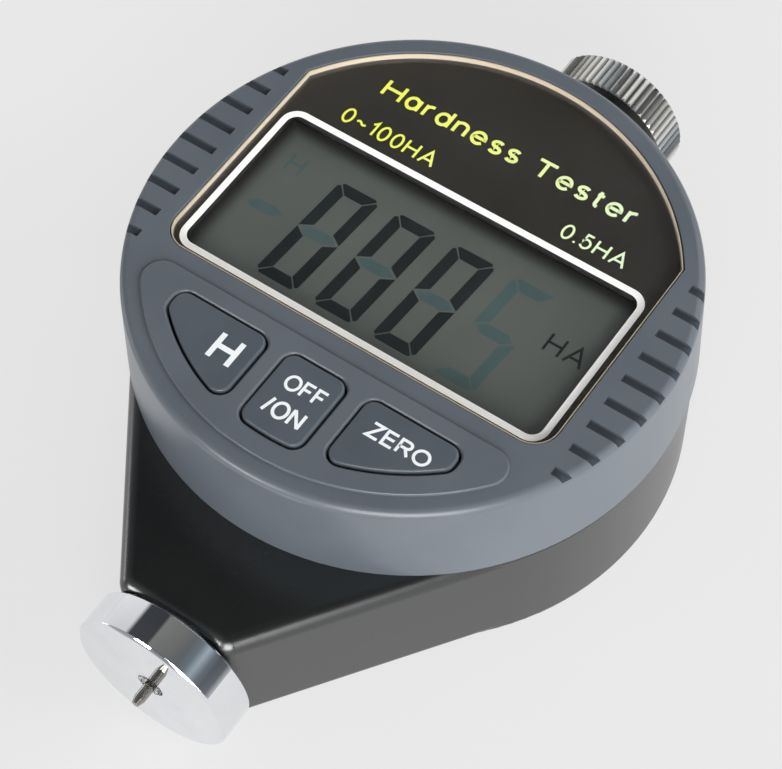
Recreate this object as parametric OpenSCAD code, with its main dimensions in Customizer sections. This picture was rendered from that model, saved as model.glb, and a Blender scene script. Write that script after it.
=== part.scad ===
// Hand-held digital durometer: a round display head on a pear-shaped cast body,
// with a presser foot and a sprung indenter at the nose and a knurled knob opposite.
// The origin is on the head's axis at the back face. +Y runs towards the knob and
// +Z comes out of the display. All lengths are in millimetres.

/* [Head] */
// Diameter of the head at its upper edge
head_d = 60; // [58:0.5:64]
// Height of the head above the body
head_h = 11.3; // [10.8:0.1:14]
// How much the head's radius grows from its upper edge to its lower edge
head_flare = 0.4; // [0:0.05:0.6]
// Thickness of the head's side wall
head_wall = 2; // [1.5:0.1:2.2]
// Thickness of the head's top plate
head_top_t = 2.7; // [2.4:0.1:3.2]
// Rounding of the head's upper rim
head_edge_r = 0.9; // [0.4:0.1:1.4]

/* [Window and lens] */
// Width of the head's face at either side of the window
window_side = 6.35; // [6:0.05:6.8]
// Distance of the window's straight lower edge from the head's axis
window_low = 11.9; // [11.7:0.1:12.4]
// Width of the rim left between the window's arc and the head's edge
window_rim = 2.2; // [1.8:0.1:3]
// Rounding of the window's lower corners
window_corner_r = 3; // [2:0.1:4]
// Thickness of the lens
lens_t = 1.2; // [0.8:0.1:1.5]
// Gap between the lens and the window all round
lens_gap = 0.12; // [0.05:0.01:0.2]
// Depth of the lens below the head's top face
lens_recess = 0.15; // [0:0.05:0.3]

/* [Display] */
// Width of the lens at either side of the clear view
view_side = 1.85; // [1.75:0.05:3]
// Height of the clear view through the lens
view_h = 19.8; // [18:0.1:19.9]
// Place of the view's centre towards the knob
view_y = -0.5; // [-0.6:0.1:0.5]
// Width of the ledge seen through the lens all round the view
view_margin = 0.5; // [0.3:0.1:0.6]
// Thickness of the display glass
lcd_t = 2.7; // [2:0.1:3]
// Edge of the display glass hidden beyond the view at either end
lcd_margin_x = 1.2; // [1:0.1:1.3]
// Edge of the display glass hidden above and below the view
lcd_margin_y = 0.7; // [0.6:0.1:0.8]
// Height of the rubber contact strips under the display glass
strip_h = 2.6; // [2.2:0.1:3]

/* [Key panel] */
// Distance of the panel's straight edge from the head's axis
panel_line = 14; // [13.6:0.1:14.6]
// Width of the rim left between the panel and the head's edge
panel_rim = 2.2; // [1.8:0.1:3]
// Height of the panel above the head's top face
panel_rise = 0.3; // [0.2:0.05:0.5]
// Rounding of the panel's two ends
panel_corner_r = 2.2; // [1.5:0.1:3]
// Distance of the keys' straight upper edges from the head's axis
key_line = 16.1; // [15.9:0.1:16.6]
// Width left between the keys' curved lower edges and the head's edge
key_rim = 4.7; // [4.4:0.1:5.4]
// Width of the middle key
power_key_w = 7.25; // [6.6:0.05:7.4]
// Distance of the two outer keys from the middle line
side_key_x = 6.1; // [6:0.05:6.6]
// Distance of the outer keys' far ends from the middle line
side_key_end = 17.2; // [16.6:0.1:17.4]
// Rounding of the keys' corners
key_corner_r = 1.3; // [1:0.1:1.6]
// Gap between each key and its hole
key_gap = 0.24; // [0.2:0.02:0.36]
// Height of the keys above the panel
key_proud = 0.15; // [0:0.05:0.4]

/* [Grip slots] */
// Number of slots on each side
slot_count = 9; // [5:2:9]
// Distance from slot to slot
slot_pitch = 3.22; // [2.6:0.02:3.3]
// Width of each slot
slot_w = 1; // [0.7:0.05:1.3]
// Depth of each slot
slot_depth = 0.5; // [0.4:0.1:1.1]
// Length of the middle slot, from the head's edge inwards
slot_l = 4.7; // [3.8:0.1:5.2]

/* [Body] */
// How far the body's side stands in from the head's lower edge
body_inset = 0.3; // [0.1:0.05:0.6]
// Thickness of the body
body_t = 15.4; // [15:0.1:18]
// Thickness of the body's wall
body_wall = 3.6; // [3:0.1:4]
// Rounding of the edges of the body's round part
body_edge_r = 1; // [0.5:0.1:1.2]
// Rounding of the edges of the body's flanks and nose
flank_edge_r = 1.6; // [1:0.1:1.8]
// Length of the nose beyond the body's round part
nose_l = 12.25; // [11:0.05:16]
// Width of the nose's end
nose_w = 13.2; // [12.6:0.1:16]
// Rounding of the nose's two upright corners
nose_corner_r = 2; // [2:0.1:2.5]
// Thickness of the shelf that carries the head
shelf_t = 2.2; // [1.8:0.1:2.6]
// Diameter of the hole in the shelf
shelf_hole_d = 40; // [36:0.5:41]
// Diameter of the stem that carries the knob
stem_d = 12; // [11:0.1:12]
// Length of the stem beyond the body's round part
stem_l = 6.8; // [5:0.1:10]
// Length of the stem inside the body's cavity
stem_in = 15.5; // [14:0.1:16]

/* [Rear cover] */
// Thickness of the rear cover's plate behind the body
cover_t = 2; // [1.8:0.1:3]
// Lap of the plate over the body's rim
cover_lap = 1.5; // [1:0.1:1.8]
// Height of the rear cover's spigot inside the body
cover_spigot_h = 1.5; // [1.2:0.1:1.6]

/* [Battery] */
// Diameter of the button cell
cell_d = 11.6; // [9.5:0.1:11.6]
// Height of the button cell
cell_h = 5.4; // [3.6:0.1:5.4]
// Diameter of the battery cap
cap_d = 16; // [15:0.1:17]

/* [Presser foot and indenter] */
// Diameter of the presser foot
foot_d = 18.5; // [17.5:0.1:18.6]
// Thickness of the presser foot
foot_t = 4.5; // [3.5:0.1:6]
// Diameter of the presser foot's spigot in the nose
foot_spigot_d = 10; // [9:0.1:10.5]
// Length of the presser foot's spigot
foot_spigot_l = 6; // [5:0.1:7]
// Diameter of the hole in the presser foot's face
foot_hole_d = 3.1; // [2.5:0.1:3.4]
// Diameter of the indenter's shank
indenter_d = 1.25; // [1.15:0.01:1.35]
// Diameter of the indenter's flat tip
indenter_tip_d = 0.79; // [0.7:0.01:0.9]
// Full angle of the indenter's cone
indenter_angle = 35; // [30:1:40]
// Reach of the indenter beyond the presser foot, which is also its travel
indenter_reach = 2.5; // [2:0.05:2.6]

/* [Plunger] */
// Diameter of the plunger
plunger_d = 4; // [3.6:0.1:4.4]
// Radial clearance of every running fit
running_gap = 0.05; // [0.02:0.01:0.08]
// Outer diameter of the main spring
spring_d = 8; // [7:0.1:8.4]
// Wire diameter of the main spring
spring_wire = 0.8; // [0.5:0.05:0.9]
// Free turns of the main spring
spring_turns = 7; // [4:1:8]

/* [Knob] */
// Diameter of the knob
knob_d = 16.6; // [15:0.1:18]
// Thickness of the knob
knob_t = 4.4; // [3.5:0.1:6]
// Number of knurl teeth
knurl_count = 60; // [40:2:72]
// Depth of the knurl
knurl_depth = 0.35; // [0.2:0.05:0.5]
// Chamfer at both ends of the knurl
knob_chamfer = 0.25; // [0.2:0.05:0.3]
// Diameter of the knob's stud
stud_d = 6; // [5:0.1:6.2]
// Length of the knob's stud below the knob
stud_l = 12.5; // [10:0.1:13]
// Thickness of the washer under the knob
washer_t = 1.2; // [0.8:0.1:1.6]

/* [Hidden] */
$fn = 64;

// Overshoot of every cut past the face that it opens
over = 1;
// Side of the slabs that the body is cut from
far = 80;
// Radial clearance of pieces that are pressed, glued or screwed in place
seat_gap = 0.02;
// Clearance of pieces that are laid in place
lay_gap = 0.1;
// Clearance on the diameter of the screws' through holes
screw_clear = 0.3;
// Depth of blind holes past the end of what fills them
hole_end = 0.5;
// Length and width of the screws' cross recesses, as shares of the head's diameter
cross_share = [0.55, 0.14];

// Levels, from the back face upwards
body_z0 = cover_t;
body_z1 = body_z0 + body_t;
head_z1 = body_z1 + head_h;
panel_z = head_z1 + panel_rise;
axis_z = body_z0 + body_t / 2;
shelf_z = body_z1 - shelf_t;
plate_z = head_z1 - head_top_t;
lens_z = head_z1 - lens_recess - lens_t;
spigot_z = body_z0 + cover_spigot_h;

// Radii about the head's axis
head_r = head_d / 2;
head_in_r = head_r - head_wall;
body_r = head_r + head_flare - body_inset;
cavity_r = body_r - body_wall;
cover_r = cavity_r + cover_lap;
nose_reach = body_r + nose_l;

// Flanks of the body, from the nose's corners to just inside the tangents of the round part
flank_in = 0.01;
flank_reach = body_r - flank_in;
nose_corner = [nose_w / 2, -nose_reach];
nose_corner_a = atan2(nose_corner.y, nose_corner.x);
flank_a = nose_corner_a + acos(flank_reach / norm(nose_corner));
flank_dir = [cos(flank_a), sin(flank_a)];
nose_dir = [0, -1];
nose_round_in = nose_corner_r - flank_in;
nose_round_y = nose_round_in - nose_reach;
nose_round = [(flank_reach - nose_round_in - flank_dir.y * nose_round_y) / flank_dir.x, nose_round_y];

// Display stack, from the lens ledge downwards
window_w = head_d - 2 * window_side;
view_w = window_w - 2 * view_side;
lcd_w = view_w + 2 * lcd_margin_x;
lcd_h = view_h + 2 * lcd_margin_y;
lcd_z1 = plate_z - lay_gap;
lcd_z0 = lcd_z1 - lcd_t;
board_t = 1.2;
board_z1 = lcd_z0 - strip_h;
board_z0 = board_z1 - board_t;
board_gap = 1.5;
board_r = head_in_r - board_gap;
strip_w = 2;
strip_ends = 3;
lcd_ledge = 1;
lcd_frame_t = 1.1;
lcd_frame_w = lcd_w + 2 * (lay_gap + lcd_frame_t);
lcd_frame_h = lcd_h + 2 * (lay_gap + lcd_frame_t);

// Head screws through the shelf, their bosses and the main board's two posts
head_screw_d = 1.9;
head_screw_head = [3.5, 1.2];
head_screw_l = 5.5;
head_boss_d = 3.2;
head_shoulder_d = 4.8;
boss_gap = 0.5;
head_screw_inset = 2.3;
head_screw_ring = cavity_r - head_screw_inset;
head_screw_low_y = view_y - lcd_frame_h / 2 - head_boss_d / 2 - boss_gap;
head_screw_low_x = sqrt(head_screw_ring ^ 2 - head_screw_low_y ^ 2);
head_screw_high_a = 50;
head_screw_low = [for (s = [-1, 1]) [s * head_screw_low_x, head_screw_low_y]];
head_screw_high = [
    for (s = [-1, 1])
        head_screw_ring * [s * cos(head_screw_high_a), sin(head_screw_high_a)]
];
head_screw_places = concat(head_screw_low, head_screw_high);
board_screw_d = 1.5;
board_screw_head = [3, 0.9];
board_screw_l = 3;
board_post_d = 3.6;
board_post_x = 6.5;
board_post_places = [for (s = [-1, 1]) [s * board_post_x, head_screw_high[0].y]];

// Rear cover's chamfer, its screws and the posts that take them
cover_edge = 0.5;
cover_screw_d = 1.6;
cover_screw_head_d = 3.8;
cover_screw_l = 6;
cover_screw_a = 20;
cover_screw_inset = 2.5;
cover_screw_sunk = 0.05;
cover_screw_sink_gap = 0.1;
cover_screw_cross_depth = 0.5;
cover_screw_ring = cavity_r - cover_screw_inset;
cover_post_d = 5.4;
cover_screw_places = [
    for (a = [cover_screw_a, 180 - cover_screw_a, 180 + cover_screw_a, -cover_screw_a])
        cover_screw_ring * [cos(a), sin(a)]
];

// Battery, cap and holder, beside the plunger
cell_place = [-cavity_r / 2, 0];
cap_recess = 0.2;
cap_flange_t = 1.2;
cap_gap = 0.1;
cap_neck_margin = 0.7;
cap_neck_d = cell_d + 2 * cap_neck_margin;
cap_neck_z = spigot_z - lay_gap;
cap_seat_z = cap_recess + cap_flange_t + cap_gap;
coin_slot = [1.6, 10, 0.7];
cell_z0 = spigot_z + lay_gap / 2;
cell_rim = 1;
cell_rim_h = 0.6;
holder_wall = 1;
holder_in_d = cell_d + 4 * lay_gap;
contact_t = 0.2;
contact_rim = 1.5;
holder_roof_z = cell_z0 + cell_h + contact_t + lay_gap;

// Keys
key_flange = 0.8;
key_flange_t = 0.8;
key_flange_gap = 0.2;
key_edge = 0.3;
key_arc_r = head_r - key_rim;
key_top_z = panel_z + key_proud;
key_flange_z1 = plate_z - key_flange_gap;
key_flange_z0 = key_flange_z1 - key_flange_t;
side_dome_in = [4, 3];
side_key_mid = [side_key_x + side_dome_in.x, -key_line - side_dome_in.y];
power_key_mid = [0, -(key_line + key_arc_r) / 2];
mat_t = 0.8;
mat_dome_d = [4.8, 3.2];
mat_gap = 0.05;

// Along the plunger's axis, from the nose to the knob
foot_y1 = -nose_reach;
foot_y0 = foot_y1 - foot_t;
foot_spigot_y = foot_y1 + foot_spigot_l;
foot_chamfer = 0.3;
foot_lip = 0.6;
foot_spigot_wall = 2;
foot_bush_d = foot_spigot_d - 2 * foot_spigot_wall;
foot_bush_neck = 3.2;
indenter_tip_y = foot_y0 - indenter_reach;
indenter_cone_l = (indenter_d - indenter_tip_d) / 2 / tan(indenter_angle / 2);
plunger_socket_wall = 0.75;
plunger_clear = 0.3;
indenter_head_d = plunger_d - 2 * plunger_socket_wall;
indenter_head_gap = 1;
indenter_head_y = foot_y0 + foot_lip + foot_bush_neck + indenter_head_gap;
indenter_head_l = 10;
plunger_lap = 1;
plunger_y0 = foot_spigot_y - plunger_lap;
guide_bush_wall = 1;
guide_bush_d = plunger_d + 2 * guide_bush_wall;
guide_bush_gap = 3.35;
guide_bush_proud = 0.5;
guide_bush_y1 = -cavity_r + guide_bush_proud;
guide_bush_y0 = foot_spigot_y + guide_bush_gap;
stop_clip_t = 1;
stop_clip_ring = 1.5;
stop_clip_mouth = 0.8;
stop_clip_d = plunger_d + 2 * stop_clip_ring;
stop_clip_y = guide_bush_y1 + lay_gap;
bracket_clear = 8;
bracket_y0 = stop_clip_y + stop_clip_t + bracket_clear;
bracket_l = 8;
bracket_wall = 2.5;
bracket_w = plunger_d + 2 * bracket_wall;
bracket_drop = plunger_d;
spring_collar_t = 3;
spring_collar_y = bracket_y0 + bracket_l + lay_gap;
boss_y0 = cavity_r - stem_in;
adjuster_t = 3;
adjuster_in = 0.5;
adjuster_slot = [1.2, 0.8];
adjuster_y = boss_y0 - adjuster_t;
spring_y0 = spring_collar_y + spring_collar_t;
spring_y1 = adjuster_y;
upper_bush_wall = 1.5;
upper_bush_d = plunger_d + 2 * upper_bush_wall;
upper_bush_l = 8;
plunger_y1 = boss_y0 + upper_bush_l - indenter_reach - hole_end;
stem_y1 = body_r + stem_l;
knob_y = stem_y1 + washer_t;
washer_lap = 0.5;
washer_d = stem_d + 2 * washer_lap;
washer_hole_gap = 0.2;
washer_hole_d = stud_d + 2 * washer_hole_gap;

// Displacement pick-up above the plunger
slider_gap = 0.3;
slider_t = 1;
slider_w = 10;
slider_lap = 3;
slider_l = bracket_l + slider_lap;
sensor_t = 1.2;
sensor_w = 20;
sensor_z = shelf_z - sensor_t;
slider_z = sensor_z - slider_gap - slider_t;
slider_y0 = bracket_y0 + bracket_l - slider_l;
sensor_end = 3;
sensor_y0 = slider_y0 - sensor_end;
sensor_gap = 4.9;
sensor_l = adjuster_y - sensor_gap - sensor_y0;
sensor_screw_d = 1.4;
sensor_screw_head = [2.6, 0.8];
sensor_screw_grip = 1.4;
sensor_screw_l = sensor_t + sensor_screw_grip;
sensor_screw_in = [2, 1.8];
sensor_screw_y = sensor_y0 + sensor_screw_in.y;
sensor_screw_x = sensor_w / 2 - sensor_screw_in.x;
guide_rod_d = 2;
guide_rod_off = 3;
guide_rod_x = bracket_w / 2 + guide_rod_off;
guide_rod_sunk = 5;
guide_rod_end = 3;
guide_rod_y1 = bracket_y0 + bracket_l + indenter_reach + guide_rod_end;
guide_ear_wall = 1.5;
guide_ear_d = guide_rod_d + 2 * guide_ear_wall;

// Cylinder along the plunger's direction
module y_rod(d, y0, y1, x = 0, d2 = undef) {
    translate([x, y0, axis_z])
        rotate([-90, 0, 0])
            cylinder(d1 = d, d2 = is_undef(d2) ? d : d2, h = y1 - y0);
}

// Upright cylinder between two levels
module z_rod(d, z0, z1, place = [0, 0], d2 = undef) {
    translate([place.x, place.y, z0])
        cylinder(d1 = d, d2 = is_undef(d2) ? d : d2, h = z1 - z0);
}

// Plate between two levels, from a flat outline
module plate(z0, z1) {
    translate([0, 0, z0])
        linear_extrude(z1 - z0)
            children();
}

// Section of the body: straight on the side of the axis, rounded on the outer side
module body_section(reach, back, edge_r) {
    translate([-back, body_z0])
        square([back + reach - edge_r, body_t]);
    translate([-back, body_z0 + edge_r])
        square([back + reach, body_t - 2 * edge_r]);
    for (z = [body_z0 + edge_r, body_z1 - edge_r])
        translate([reach - edge_r, z])
            circle(edge_r);
}

// Straight side of the body, starting at the plane through the head's axis
module flank_slab() {
    rotate(flank_a)
        rotate([90, 0, 0])
            linear_extrude(far)
                body_section(flank_reach, far, flank_edge_r);
}

// Slab that ends the nose
module nose_slab() {
    rotate(-90)
        rotate([90, 0, 0])
            translate([0, 0, -far])
                linear_extrude(2 * far)
                    body_section(nose_reach, far, flank_edge_r);
}

// Wedge that takes off the nose's sharp corner at one side
module nose_wedge() {
    reach = nose_corner_r + over;
    plate(body_z0 - over, body_z1 + over)
        polygon([
            nose_round,
            nose_round + reach * flank_dir,
            nose_round + reach * (flank_dir + nose_dir),
            nose_round + reach * nose_dir
        ]);
}

// Upright rounded corner in place of the wedge, ending flush with the nose
module nose_corner_round() {
    intersection() {
        translate([nose_round.x, nose_round.y, 0])
            rotate_extrude()
                body_section(nose_corner_r, 0, flank_edge_r);
        translate([0, -nose_reach, 0])
            cube([far, far, body_z1 + over]);
    }
}

module body_outside() {
    rotate_extrude()
        body_section(body_r, 0, body_edge_r);
    difference() {
        intersection() {
            flank_slab();
            mirror([1, 0, 0])
                flank_slab();
            nose_slab();
        }
        nose_wedge();
        mirror([1, 0, 0])
            nose_wedge();
    }
    nose_corner_round();
    mirror([1, 0, 0])
        nose_corner_round();
}

module body() {
    color("#1f2120")
        difference() {
            union() {
                difference() {
                    body_outside();
                    z_rod(2 * cavity_r, body_z0 - over, shelf_z);
                    z_rod(shelf_hole_d, shelf_z - over, body_z1 + over);
                }
                for (place = cover_screw_places)
                    z_rod(cover_post_d, spigot_z + lay_gap, shelf_z + shelf_t / 2, place);
                y_rod(stem_d, boss_y0, stem_y1);
            }
            y_rod(foot_spigot_d + 2 * seat_gap, foot_y1 - over, foot_spigot_y);
            y_rod(guide_bush_d + 2 * seat_gap, foot_spigot_y - over, guide_bush_y1 + over);
            y_rod(upper_bush_d + 2 * seat_gap, boss_y0 - over, boss_y0 + upper_bush_l);
            y_rod(stud_d + 2 * running_gap, knob_y - stud_l - hole_end, stem_y1 + over);
            y_rod(guide_rod_d + 2 * seat_gap, -cavity_r - guide_rod_sunk, 0, guide_rod_x);
            for (place = cover_screw_places)
                z_rod(cover_screw_d + 2 * seat_gap, spigot_z, body_z0 + cover_screw_l + hole_end, place);
            for (place = head_screw_places)
                z_rod(head_screw_d + screw_clear, shelf_z - over, body_z1 + over, place);
            for (s = [-1, 1])
                z_rod(sensor_screw_d + 2 * seat_gap, shelf_z - over, shelf_z + sensor_screw_grip + lay_gap,
                    [s * sensor_screw_x, sensor_screw_y]);
        }
}

module rear_cover() {
    color("#232524")
        difference() {
            union() {
                z_rod(2 * (cover_r - cover_edge), 0, cover_edge, d2 = 2 * cover_r);
                z_rod(2 * cover_r, cover_edge, cover_t);
                z_rod(2 * (cavity_r - lay_gap), cover_edge, spigot_z);
            }
            for (place = cover_screw_places) {
                z_rod(cover_screw_d + screw_clear, -over, spigot_z + over, place);
                z_rod(cover_screw_head_d + 2 * (cover_screw_sink_gap + over), -over,
                    (cover_screw_head_d - cover_screw_d) / 2 + cover_screw_sink_gap,
                    place, d2 = cover_screw_d);
            }
            z_rod(cap_d + 2 * cap_gap, -over, cap_seat_z, cell_place);
            z_rod(cap_neck_d + 2 * cap_gap, -over, spigot_z + over, cell_place);
        }
}

module rear_cover_screws() {
    color("silver")
        for (place = cover_screw_places)
            difference() {
                union() {
                    z_rod(cover_screw_head_d, cover_screw_sunk, (cover_screw_head_d - cover_screw_d) / 2,
                        place, d2 = cover_screw_d + 2 * cover_screw_sunk);
                    z_rod(cover_screw_d, cover_screw_head_d / 4, body_z0 + cover_screw_l, place);
                }
                for (a = [0, 90])
                    translate([place.x, place.y, 0])
                        rotate(a)
                            cube([
                                cover_screw_head_d * cross_share[0],
                                cover_screw_head_d * cross_share[1],
                                2 * cover_screw_cross_depth
                            ], center = true);
            }
}

module battery_cap() {
    color("#2b2d2c")
        difference() {
            union() {
                z_rod(cap_d, cap_recess, cap_recess + cap_flange_t, cell_place);
                z_rod(cap_neck_d, cap_recess, cap_neck_z, cell_place);
            }
            translate([cell_place.x - coin_slot.x / 2, cell_place.y - coin_slot.y / 2, 0])
                cube([coin_slot.x, coin_slot.y, cap_recess + coin_slot.z]);
        }
}

module battery() {
    color("silver") {
        z_rod(cell_d, cell_z0 + cell_rim_h, cell_z0 + cell_h, cell_place);
        z_rod(cell_d - 2 * cell_rim, cell_z0, cell_z0 + cell_h / 2, cell_place);
    }
}

module battery_holder() {
    color("#2a2a2a")
        difference() {
            z_rod(holder_in_d + 2 * holder_wall, spigot_z, holder_roof_z + holder_wall, cell_place);
            z_rod(holder_in_d, spigot_z - over, holder_roof_z, cell_place);
        }
}

module battery_contact() {
    color("gold")
        z_rod(cell_d - 2 * contact_rim, holder_roof_z - lay_gap / 2 - contact_t,
            holder_roof_z - lay_gap / 2, cell_place);
}

module presser_foot() {
    color("gainsboro")
        difference() {
            union() {
                y_rod(foot_d - 2 * foot_chamfer, foot_y0, foot_y0 + foot_chamfer, d2 = foot_d);
                y_rod(foot_d, foot_y0 + foot_chamfer, foot_y1 - foot_chamfer);
                y_rod(foot_d, foot_y1 - foot_chamfer, foot_y1, d2 = foot_d - 2 * foot_chamfer);
                y_rod(foot_spigot_d, foot_y1 - over, foot_spigot_y - lay_gap);
            }
            y_rod(foot_hole_d, foot_y0 - over, foot_y1);
            y_rod(foot_bush_d + 2 * seat_gap, foot_y0 + foot_lip, foot_spigot_y + over);
        }
}

module foot_bush() {
    color("goldenrod")
        difference() {
            y_rod(foot_bush_d, foot_y0 + foot_lip, foot_spigot_y - lay_gap);
            y_rod(indenter_d + 2 * running_gap, foot_y0, foot_spigot_y);
            y_rod(plunger_d + 2 * plunger_clear, foot_y0 + foot_lip + foot_bush_neck, foot_spigot_y);
        }
}

module indenter() {
    shoulder = indenter_head_y - indenter_tip_y;
    color("lightsteelblue")
        translate([0, indenter_tip_y, axis_z])
            rotate([-90, 0, 0])
                rotate_extrude()
                    polygon([
                        [0, 0],
                        [indenter_tip_d / 2, 0],
                        [indenter_d / 2, indenter_cone_l],
                        [indenter_d / 2, shoulder],
                        [indenter_head_d / 2, shoulder],
                        [indenter_head_d / 2, shoulder + indenter_head_l],
                        [0, shoulder + indenter_head_l]
                    ]);
}

module plunger() {
    color("silver")
        difference() {
            y_rod(plunger_d, plunger_y0, plunger_y1);
            y_rod(indenter_head_d + 2 * seat_gap, plunger_y0 - over, indenter_head_y + indenter_head_l);
        }
}

module guide_bush() {
    color("goldenrod")
        difference() {
            y_rod(guide_bush_d, guide_bush_y0, guide_bush_y1);
            y_rod(plunger_d + 2 * running_gap, guide_bush_y0 - over, guide_bush_y1 + over);
        }
}

module upper_bush() {
    color("goldenrod")
        difference() {
            y_rod(upper_bush_d, boss_y0, boss_y0 + upper_bush_l);
            y_rod(plunger_d + 2 * running_gap, boss_y0 - over, boss_y0 + upper_bush_l + over);
        }
}

// Round wire swept along a helix about the plunger
module main_spring() {
    steps = 16;
    sides = 8;
    turn_r = (spring_d - spring_wire) / 2;
    rings = spring_turns * steps;
    rise = spring_y1 - spring_y0 - spring_wire - lay_gap;
    points = [
        for (i = [0 : rings])
            let (a = 360 * i / steps, y = spring_y0 + (spring_wire + lay_gap) / 2 + rise * i / rings)
                for (k = [0 : sides - 1])
                    let (b = 360 * k / sides, r = turn_r + spring_wire / 2 * cos(b))
                        [r * cos(a), y + spring_wire / 2 * sin(b), axis_z + r * sin(a)]
    ];
    walls = [
        for (i = [0 : rings - 1], k = [0 : sides - 1])
            let (n = (k + 1) % sides)
                [i * sides + k, i * sides + n, (i + 1) * sides + n, (i + 1) * sides + k]
    ];
    first = [for (k = [0 : sides - 1]) sides - 1 - k];
    last = [for (k = [0 : sides - 1]) rings * sides + k];
    color("silver")
        polyhedron(points, concat(walls, [first, last]), convexity = 10);
}

module spring_collar() {
    color("goldenrod")
        difference() {
            y_rod(spring_d, spring_collar_y, spring_y0);
            y_rod(plunger_d + 2 * seat_gap, spring_collar_y - over, spring_y0 + over);
        }
}

module spring_adjuster() {
    color("goldenrod")
        difference() {
            y_rod(stem_d - 2 * adjuster_in, adjuster_y, boss_y0);
            y_rod(plunger_d + 2 * plunger_clear, adjuster_y - over, boss_y0 + over);
            for (a = [45, 135])
                translate([0, adjuster_y, axis_z])
                    rotate([0, a, 0])
                        cube([adjuster_slot.x, 2 * adjuster_slot.y, stem_d + over], center = true);
        }
}

module stop_clip() {
    color("dimgray")
        difference() {
            y_rod(stop_clip_d, stop_clip_y, stop_clip_y + stop_clip_t);
            y_rod(plunger_d + 2 * seat_gap, stop_clip_y - over, stop_clip_y + stop_clip_t + over);
            translate([-plunger_d * stop_clip_mouth / 2, stop_clip_y - over, axis_z - stop_clip_d])
                cube([plunger_d * stop_clip_mouth, stop_clip_t + 2 * over, stop_clip_d]);
        }
}

module plunger_bracket() {
    color("darkgray")
        difference() {
            union() {
                translate([-bracket_w / 2, bracket_y0, axis_z - bracket_drop])
                    cube([bracket_w, bracket_l, slider_z - axis_z + bracket_drop]);
                translate([0, bracket_y0, axis_z - guide_ear_d / 2])
                    cube([guide_rod_x, bracket_l, guide_ear_d]);
                y_rod(guide_ear_d, bracket_y0, bracket_y0 + bracket_l, guide_rod_x);
            }
            y_rod(plunger_d + 2 * seat_gap, bracket_y0 - over, bracket_y0 + bracket_l + over);
            y_rod(guide_rod_d + 2 * running_gap, bracket_y0 - over,
                bracket_y0 + bracket_l + over, guide_rod_x);
        }
}

module guide_rod() {
    color("silver")
        y_rod(guide_rod_d, -cavity_r - guide_rod_sunk, guide_rod_y1, guide_rod_x);
}

module sensor_slider() {
    color("darkgreen")
        translate([-slider_w / 2, slider_y0, slider_z])
            cube([slider_w, slider_l, slider_t]);
}

module sensor_board() {
    color("darkgreen")
        difference() {
            translate([-sensor_w / 2, sensor_y0, sensor_z])
                cube([sensor_w, sensor_l, sensor_t]);
            for (s = [-1, 1])
                z_rod(sensor_screw_d + screw_clear, sensor_z - over, shelf_z + over,
                    [s * sensor_screw_x, sensor_screw_y]);
        }
}

// Pan-head screw that points upwards, with its head's top face at a level
module pan_screw(d, head, l, z, place) {
    difference() {
        union() {
            z_rod(head.x, z - head.y, z, place);
            z_rod(d, z - head.y / 2, z + l, place);
        }
        for (a = [0, 90])
            translate([place.x, place.y, z - head.y])
                rotate(a)
                    cube([head.x * cross_share[0], head.x * cross_share[1], head.y], center = true);
    }
}

module sensor_board_screws() {
    color("silver")
        for (s = [-1, 1])
            pan_screw(sensor_screw_d, sensor_screw_head, sensor_screw_l, sensor_z,
                [s * sensor_screw_x, sensor_screw_y]);
}

module main_board() {
    // Chips under the board: middle and size
    chips = [[-9, 6, 12, 12], [8, 9, 8, 6], [10, -6, 10, 7]];
    chip_t = 1.3;
    color("darkgreen") {
        difference() {
            z_rod(2 * board_r, board_z0, board_z1);
            for (place = head_screw_places)
                z_rod(head_boss_d + boss_gap, board_z0 - over, board_z1 + over, place);
            for (place = board_post_places)
                z_rod(board_screw_d + screw_clear, board_z0 - over, board_z1 + over, place);
        }
        for (chip = chips)
            translate([chip[0] - chip[2] / 2, chip[1] - chip[3] / 2, board_z0 - chip_t])
                cube([chip[2], chip[3], chip_t + board_t / 2]);
    }
}

module main_board_screws() {
    color("silver")
        for (place = board_post_places)
            pan_screw(board_screw_d, board_screw_head, board_screw_l + board_t, board_z0, place);
}

module contact_strips() {
    color("dimgray")
        for (s = [-1, 1])
            translate([-lcd_w / 2 + strip_ends, view_y + s * (lcd_h - strip_w) / 2 - strip_w / 2, board_z1])
                cube([lcd_w - 2 * strip_ends, strip_w, strip_h]);
}

module lcd_glass() {
    color("#8a9184") {
        translate([-lcd_w / 2, view_y - lcd_h / 2, lcd_z0])
            cube([lcd_w, lcd_h, lcd_t / 2]);
        translate([-lcd_w / 2, view_y - lcd_h / 2 + lcd_ledge / 2, lcd_z0])
            cube([lcd_w, lcd_h - lcd_ledge, lcd_t]);
    }
}

module lcd_frame() {
    inner = [lcd_w + 2 * lay_gap, lcd_h + 2 * lay_gap];
    color("#d8d4c6")
        plate(board_z1, plate_z)
            translate([0, view_y])
                difference() {
                    square([lcd_frame_w, lcd_frame_h], center = true);
                    square(inner, center = true);
                }
}

// Field of one key before its corners are rounded: side is -1, 0 or 1
module key_field(side) {
    intersection() {
        circle(key_arc_r, $fn = 180);
        if (side == 0)
            translate([-power_key_w / 2, -head_r])
                square([power_key_w, head_r - key_line]);
        else
            translate([side > 0 ? side_key_x : -side_key_end, -head_r])
                square([side_key_end - side_key_x, head_r - key_line]);
    }
}

module key_outline(side, grow = 0) {
    offset(r = key_corner_r + grow, $fn = 32)
        offset(delta = -key_corner_r)
            key_field(side);
}

function key_mid(side) = side == 0 ? power_key_mid : [side * side_key_mid.x, side_key_mid.y];

module key(side) {
    color("#5f646c") {
        hull()
            for (a = [0, 45, 90])
                plate(key_flange_z0, key_top_z - key_edge * (1 - sin(a)))
                    key_outline(side, -key_edge * (1 - cos(a)));
        plate(key_flange_z0, key_flange_z1)
            key_outline(side, key_flange);
    }
}

module hold_key() {
    key(-1);
}

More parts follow.
